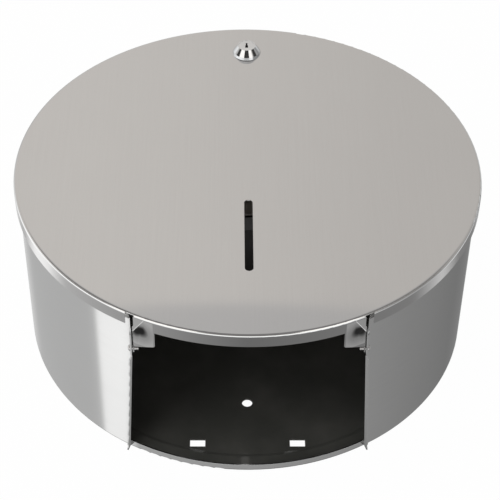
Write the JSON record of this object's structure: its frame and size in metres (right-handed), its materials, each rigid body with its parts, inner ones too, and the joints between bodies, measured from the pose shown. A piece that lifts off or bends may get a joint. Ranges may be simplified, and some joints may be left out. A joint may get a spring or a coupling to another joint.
{
  "type": "jumbo toilet roll dispenser",
  "caption": "Round stainless steel drum for a jumbo toilet roll, with a hinged lockable cover, level slot, bottom outlet with toothed tear lips, and a turning core sleeve.",
  "frame": {"origin": "centre of the drum's back face, on the wall plane; stored lying on its back", "axes": "+Z out of the wall towards the cover, which is level as stored; -Y towards the paper outlet, which is down when it hangs on a wall; +X to the right seen from the front"},
  "size_m": [0.31, 0.31, 0.137],
  "materials": {
    "back_plate": "satin black",
    "drum_steel": "satin, grain along the circumference",
    "cover_steel": "satin",
    "hinge_steel": "bright",
    "rivets": "plain",
    "zinc_steel": "bright zinc",
    "black_plastic": "moulded",
    "sleeve_plastic": "moulded",
    "washer_plastic": "natural nylon",
    "lock_chrome": "polished",
    "plug_chrome": "polished"
  },
  "bodies": {
    "housing": {"back_plate": "back_plate", "drum_wall": "drum_steel", "rim_rivets": "rivets", "hinge_pin_left": "hinge_steel", "hinge_pin_right": "hinge_steel", "strike": "zinc_steel", "spindle_studs": "zinc_steel", "spindle_post": "black_plastic", "spindle_washers": "zinc_steel", "spindle_nuts": "zinc_steel", "thrust_washer": "washer_plastic", "sleeve_washer": "zinc_steel", "sleeve_screw": "zinc_steel"},
    "front_cover": {"cover": "cover_steel", "hinge_bush_left": "hinge_steel", "hinge_bush_right": "hinge_steel", "lock_body": "lock_chrome", "lock_washer": "zinc_steel", "lock_nut": "zinc_steel"},
    "lock_core": {"lock_plug": "plug_chrome", "stop_washer": "zinc_steel", "lock_cam": "zinc_steel", "cam_washer": "zinc_steel", "cam_nut": "zinc_steel"},
    "roll_sleeve": {"core_sleeve": "sleeve_plastic"}
  },
  "joints": [
    {"name": "cover_hinge", "type": "hinge", "parent": "housing", "child": "front_cover", "pos_m": [0, -0.13602, 0.1], "axis": [1, 0, 0], "range_deg": [0, 175]},
    {"name": "lock_turn", "type": "hinge", "parent": "front_cover", "child": "lock_core", "pos_m": [0, 0.126, 0.131], "axis": [0, 0, 1], "range_deg": [0, 90]},
    {"name": "sleeve_spin", "type": "hinge", "parent": "housing", "child": "roll_sleeve", "pos_m": [0, 0, 0.06], "axis": [0, 0, 1], "continuous": true}
  ]
}
